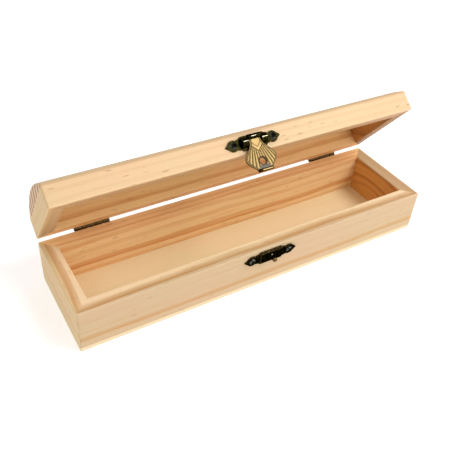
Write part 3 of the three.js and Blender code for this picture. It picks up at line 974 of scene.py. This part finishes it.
def add_pin(node, body, material):
    """A hinge pin, as long and thick as its CAD node."""
    low, high = closed_box(node)
    size = high - low
    bm = lathe(rod_profile(size.z / 2, size.x / 2, size.z / 6), 24)
    bmesh.ops.transform(bm, matrix=ALONG_X, verts=bm.verts)
    place = Matrix.Translation((low + high) / 2)
    return add_piece(f"{node}_metal", bm, body, [node], [material], place)


def add_post(metals):
    """The catch post: a collar on the plate, a neck and a round tip. The upper side of the collar carries a
    painted highlight.
    """
    low, high = closed_box("catch_post")
    wood = closed_box("tray_front_board")[0].y
    length = wood - low.y
    tip = arc(0, length - POST_TIP_RADIUS, POST_TIP_RADIUS, 90, -50, 12)
    shoulder = BOSS_RISE + POST_SHOULDER_HEIGHT
    profile = [
        (0, POST_COLLAR_START),
        (POST_COLLAR_RADIUS, POST_COLLAR_START),
        (POST_COLLAR_RADIUS, BOSS_RISE + POST_COLLAR_HEIGHT),
        (POST_COLLAR_RADIUS - POST_SHOULDER_INSET, shoulder),
        (POST_NECK_RADIUS, BOSS_RISE + POST_NECK_START),
        *reversed(tip[1:]),
        (0, length),
    ]
    bm = lathe(profile, 32)
    wear_and_sheen = bm.faces.layers.float.new("wear_and_sheen")
    for face in bm.faces:
        centre = face.calc_center_median()
        face[wear_and_sheen] = 1.0 if centre.z > length - POST_TIP_RADIUS else 0.0
        # The upper side of the collar takes the second material, a painted highlight.
        if centre.y > 0.8 * POST_COLLAR_RADIUS and centre.z < shoulder:
            face.material_index = 1
    bmesh.ops.transform(bm, matrix=ALONG_Y, verts=bm.verts)
    place = Matrix.Translation(((low.x + high.x) / 2, wood, (low.z + high.z) / 2))
    return add_piece("catch_post_metal", bm, "tray", ["catch_post"], metals, place)


# ---------------------------------------------------------------- screws and hinges

def screw_head(radius, rise, seat):
    """A round head with a cross recess. It faces +Z, and seat is how far it reaches below z = 0."""
    ball = (radius * radius + rise * rise) / (2 * rise)
    spread = math.degrees(math.asin(min(radius / ball, 1)))
    top = arc(0, rise - ball, ball, 90 - spread, 90, 8)
    bm = lathe([(0, -seat), (radius - 0.1, -seat), (radius, -seat + 0.1), *top], 32)
    reach = radius * CROSS_REACH
    narrow = radius * CROSS_HALF_WIDTH
    quarter = [(narrow, narrow), (narrow, reach), (-narrow, reach)]
    cross = []
    for turn in range(4):
        spin = Matrix.Rotation(math.radians(90 * turn), 2)
        cross += [tuple(spin @ Vector(corner)) for corner in quarter]
    wear_and_sheen = bm.faces.layers.float.new("wear_and_sheen")
    # The rim is marked for a painted highlight ring, brighter towards the edge.
    for face in bm.faces:
        centre = face.calc_center_median()
        face[wear_and_sheen] = smoothstep(0.6, 0.85, math.hypot(centre.x, centre.y) / radius)
    cutter = prism(cross, rise * CROSS_FLOOR, rise + 1)
    for face in cutter.faces:
        face.material_index = 1
    return cut(bm, cutter)


def add_screw(node, body, facing, spin, metals):
    """A wood screw's head where its CAD node is. Facing is -1 for the front and 1 for the back."""
    low, high = closed_box(node)
    radius = (high.x - low.x) / 2
    rise, face = (FRONT_SCREW_RISE, low.y) if facing < 0 else (BACK_SCREW_RISE, high.y)
    bm = screw_head(radius, rise, SCREW_SEAT)
    outward = Matrix.Rotation(math.radians(-90 * facing), 4, "X")
    turn = outward @ Matrix.Rotation(math.radians(spin), 4, "Z")
    base = face - facing * rise
    place = Matrix.Translation(((low.x + high.x) / 2, base, (low.z + high.z) / 2)) @ turn
    return add_piece(f"{node}_head", bm, body, [node], metals, place)


def hinge_leaf(length, height, parity, standoff):
    """A leaf that stands up from the barrel on X, against the wood at y = -standoff."""
    back = -standoff + LEAF_SEAT_GAP
    front = back + LEAF_THICKNESS
    half = length / 2
    outline = [(-half, LEAF_START), (half, LEAF_START), (half, height), (-half, height)]
    plate = forward_prism(outline, -front, -back)
    soften(plate, LEAF_SOFTNESS, 2)
    pitch = length / KNUCKLES
    for i in range(KNUCKLES):
        if i % 2 != parity:
            continue
        x = -half + (i + 0.5) * pitch
        width = pitch / 2 - KNUCKLE_GAP
        spot = Matrix.Translation((x, 0, 0))
        knuckle = tube(KNUCKLE_RADIUS, KNUCKLE_BORE, width, LEAF_SOFTNESS, 28)
        merge(plate, knuckle, spot @ ALONG_X)
        web = [(-width, WEB_START), (width, WEB_START), (width, WEB_END), (-width, WEB_END)]
        merge(plate, forward_prism(web, -front, -back), spot)
    return plate


def add_hinge(side, bronze, screw_metals, spins):
    """One butt hinge: two leaves, a pin and four screws."""
    axis = closed_centre(f"{side}_hinge_pin")
    wood = closed_box("tray_back_board")[1].y
    for leaf, body, parity, turn in (("lower", "tray", 0, 180), ("upper", "lid", 1, 0)):
        node = f"{side}_hinge_{leaf}_leaf"
        low, high = closed_box(node)
        height = max(high.z - axis.z, axis.z - low.z)
        bm = hinge_leaf(high.x - low.x, height, parity, axis.y - wood)
        place = Matrix.Translation(axis) @ Matrix.Rotation(math.radians(turn), 4, "Y")
        add_piece(f"{node}_metal", bm, body, [node], [bronze], place)
        for end in ("left", "right"):
            screw = f"{side}_hinge_{leaf}_{end}_screw"
            add_screw(screw, body, 1, next(spins), screw_metals)
    add_pin(f"{side}_hinge_pin", "tray", bronze)


# ---------------------------------------------------------------- stage

CAMERA_AT = (-0.14916, -0.21071, 0.23023)
CAMERA_HEADING = 33.21
CAMERA_PITCH = -39.46
CAMERA_ROLL = -4.52
CAMERA_LENS = 49.41
FLOOR_GLOW = 0.35


def add_camera():
    """The camera looks down at the box from its left front corner. Angles are in degrees."""
    data = bpy.data.cameras.new("camera")
    data.lens = CAMERA_LENS
    data.sensor_width = 36
    camera = bpy.data.objects.new("camera", data)
    heading = Matrix.Rotation(math.radians(-CAMERA_HEADING), 4, "Z")
    pitch = Matrix.Rotation(math.radians(90 + CAMERA_PITCH), 4, "X")
    roll = Matrix.Rotation(math.radians(-CAMERA_ROLL), 4, "Z")
    camera.matrix_world = Matrix.Translation(CAMERA_AT) @ heading @ pitch @ roll
    bpy.context.scene.collection.objects.link(camera)
    bpy.context.scene.camera = camera


def add_light(name, place, size, power, colour, aim=(0, 0, 0.02)):
    data = bpy.data.lights.new(name, "AREA")
    data.shape = "DISK"
    data.size = size
    data.energy = power
    data.color = colour
    light = bpy.data.objects.new(name, data)
    light.location = place
    direction = Vector(aim) - Vector(place)
    light.rotation_euler = direction.to_track_quat("-Z", "Y").to_euler()
    bpy.context.scene.collection.objects.link(light)


def add_world(strength):
    world = bpy.data.worlds.new("studio")
    world.use_nodes = True
    background = world.node_tree.nodes["Background"]
    background.inputs["Color"].default_value = (1, 1, 1, 1)
    background.inputs["Strength"].default_value = strength
    bpy.context.scene.world = world


def floor_material():
    """Matt white, and faintly lit from below like a light table."""
    material, tree, shader = new_material("pale_floor", 0.0)
    place = add(tree, "ShaderNodeTexCoord").outputs["Object"]
    grain = noise(tree, scaled(tree, place, (60, 60, 60)), 3.0)
    colour = blend(tree, grain, srgb(246, 246, 245), srgb(250, 250, 250))
    tree.links.new(colour, shader.inputs["Base Color"])
    shader.inputs["Roughness"].default_value = 0.9
    shader.inputs["Specular IOR Level"].default_value = 0.1
    shader.inputs["Emission Color"].default_value = (1, 1, 1, 1)
    shader.inputs["Emission Strength"].default_value = FLOOR_GLOW
    return material


def add_floor():
    bm = bmesh.new()
    bmesh.ops.create_circle(bm, cap_ends=True, radius=4.0, segments=96)
    mesh = bpy.data.meshes.new("floor")
    bm.to_mesh(mesh)
    bm.free()
    mesh.materials.append(floor_material())
    floor = bpy.data.objects.new("floor", mesh)
    floor.location = (0, 0, CAD_BOX[0].z - 0.0001)
    bpy.context.scene.collection.objects.link(floor)


# ---------------------------------------------------------------- the box

def add_tray():
    panel = closed_box("tray_bottom_panel")[1].z
    top = closed_box("tray_front_board")[1].z
    front = pine(
        "pine_tray_front", (38, 60),
        ((49.0, 52.2, 0.8), (56, 58, 0.15), (61, 63.5, 0.15), (64.8, 67.4, 0.8)),
        srgb(201, 172, 136), srgb(190, 139, 77), (srgb(246, 220, 180), 50.4, 53.4), flecks=0.7,
    )
    back = pine(
        "pine_tray_back", (60, 50), ((58, 60.3, 0.5), (62, 63.6, 0.35), (66, 68.8, 0.9), (70.4, 71.8, 0.5)),
        srgb(252, 212, 156), srgb(222, 150, 80), shift=(300, 40, 0), flecks=0.7, streaks=0.25,
    )
    left = pine(
        "pine_tray_left", (40, 70), ((59.4, 61.5, 0.8), (66, 67.5, 0.3), (72, 74.5, 0.4)),
        srgb(222, 192, 144), srgb(206, 150, 94), (srgb(246, 218, 178), 59.4, 62.4),
        wander=6.0, shift=(700, 90, 10),
    )
    right = pine(
        "pine_tray_right", (38, 60), ((50.4, 52.6, 0.4), (58, 60, 0.2), (66, 68, 0.4)),
        srgb(200, 166, 124), srgb(180, 130, 82), shift=(900, 10, 60),
    )
    # The right end's inner face: darker and more orange than the rest, painted shade over its own curved
    # grain.
    shaded_right_inner = pine(
        "pine_tray_inner_right_shaded", (14, -4), ((12, 14, 0.4), (16, 19, 0.6), (21.5, 22.6, 0.3), (25, 28, 0.6)),
        srgb(226, 162, 84), srgb(170, 98, 38), wander=8.0, curve=0.6, shift=(900, 10, 60),
    )
    woods = {"front": [front], "back": [back], "left": [left], "right": [right, shaded_right_inner]}
    for side, materials in woods.items():
        add_board("tray", side, materials, 0, rim_round(side), panel, top)
    floor = pine(
        "pine_floor", (20, -90), ((100, 103, 0.15), (108, 111, 0.15), (116, 119, 0.15)),
        srgb(247, 224, 181), srgb(226, 194, 144), shift=(50, 500, 0), flecks=0.1, streaks=0.12,
    )
    edges = pine(
        "pine_floor_edges", (20, -90), ((91, 92, 0.3), (93, 94, 0.3)),
        srgb(228, 206, 172), srgb(206, 178, 140), shift=(50, 500, 0),
    )
    add_bottom_panel([floor, edges])


def add_lid():
    bottom = closed_box("lid_front_board")[0].z - LID_RIM_DROP
    top = closed_box("lid_top_panel")[0].z - SEAM
    front = pine(
        "pine_lid_front", (60, -30), ((67.6, 68.4, 0.15), (70, 70.8, 0.2)),
        srgb(226, 192, 149), srgb(204, 154, 102), (srgb(184, 142, 98), 64.5, 67),
        shift=(431, 317, 0), flecks=1.0, streaks=0.12,
    )
    back = pine(
        "pine_lid_back", (44, 30), ((38, 40, 0.6), (42.5, 44, 0.7), (47, 49, 0.5)),
        srgb(246, 200, 138), srgb(212, 140, 70), shift=(120, 700, 0), flecks=0.7, streaks=0.25,
    )
    left = pine(
        "pine_lid_left", (30, -22), ((31, 32.5, 0.4), (33.5, 35, 0.5), (40, 41.5, 0.15)),
        srgb(219, 186, 134), srgb(166, 130, 92), (srgb(196, 154, 110), 36, 38), shift=(0, 820, 30),
    )
    # This darker wood shows on the rim of the lid's right board, as painted shade; its outer face takes the
    # left board's wood and its inner face the next wood.
    right = pine(
        "pine_lid_right_rim_shaded", (36, 24), ((30, 32, 0.3), (36, 38, 0.3)),
        srgb(162, 114, 64), srgb(144, 94, 48), shift=(60, 910, 0),
    )
    # The lid's right inner face: darker than the rest, painted shade over its own curved grain.
    shaded_right_inner = pine(
        "pine_lid_inner_right_shaded", (26, 10), ((17, 18.4, 0.5), (20, 21.6, 0.6), (23, 24.6, 0.5)),
        srgb(196, 136, 70), srgb(150, 92, 40), wander=8.0, curve=0.6, shift=(60, 910, 0),
    )
    woods = {"front": [front], "back": [back], "left": [left], "right": [right, shaded_right_inner, left]}
    for side, materials in woods.items():
        add_board("lid", side, materials, rim_round(side), 0, bottom, top)
    pith = (-90, -82)
    rings = [(101.6 + 5.2 * i, 105.2 + 5.2 * i, 1.0) for i in range(7)]
    shift = (33, 210, 0)
    dome = pine("pine_dome", pith, rings, srgb(226, 194, 148), srgb(203, 162, 116), shift=shift)
    ends = pine("pine_dome_ends", pith, rings, srgb(230, 192, 148), srgb(132, 82, 50), shift=shift)
    add_dome([dome, ends])


def add_metalwork():
    bronze = dark_bronze("hasp_patina", srgb(14, 13, 4), srgb(40, 37, 14), 0.24, 0.22)
    # Hinge bronze: its light mottle and rubbed edges are patina and painted copper glints together.
    hinge = dark_bronze("hinge_patina_and_glints", srgb(38, 28, 14), srgb(150, 116, 68), 0.3, 0.7, fineness=2.0)
    # Screw bronze: the bright ring round each head's rim is a painted highlight.
    screw = dark_bronze("screw_patina_and_rim_highlight", srgb(34, 32, 26), srgb(84, 80, 70), 0.22, 0.46, STEEL_RIM_HIGHLIGHT)
    # Near-black for the screws' cross recesses.
    recess = dark_bronze("recess_near_black", srgb(6, 5, 3), srgb(16, 13, 8), 0.5, 0.0)
    post = dark_bronze("post_patina", srgb(14, 13, 4), srgb(40, 37, 14), 0.22, 1.0)
    # Pale bronze used only for painted highlights: strips on the cheeks and the flap's knuckle, and the
    # upper side of the post's collar.
    painted_highlight = dark_bronze("painted_highlight_bronze", srgb(112, 106, 84), srgb(176, 170, 146), 0.2, 0.0)
    spins = (FIRST_SCREW_SPIN + SCREW_SPIN_STEP * i % 90 for i in range(12))
    add_hasp_plate([bronze, painted_highlight])
    add_catch_plate(bronze)
    add_flap([shell_brass("shell_brass"), bronze, painted_highlight])
    add_pin("hasp_hinge_pin", "lid", bronze)
    add_post([post, painted_highlight])
    for plate, body in (("hasp", "lid"), ("catch", "tray")):
        for end in ("left", "right"):
            add_screw(f"{plate}_{end}_screw", body, -1, next(spins), [screw, recess])
    for side in ("left", "right"):
        add_hinge(side, hinge, [screw, recess], spins)


def add_studio():
    add_camera()
    add_world(0.6)
    add_light("key", (0.38, -0.30, 0.66), 0.4, 3.3, (1.0, 1.0, 1.0))
    add_light("left_fill", (-0.8, -0.2, 0.7), 0.9, 1.2, (1.0, 1.0, 1.0))
    add_light("front_fill", (0.45, -0.8, 0.35), 0.8, 2.2, (1.0, 1.0, 1.0))
    add_floor()
    bpy.context.scene.view_settings.view_transform = "Standard"


add_tray()
add_lid()
add_metalwork()
add_studio()
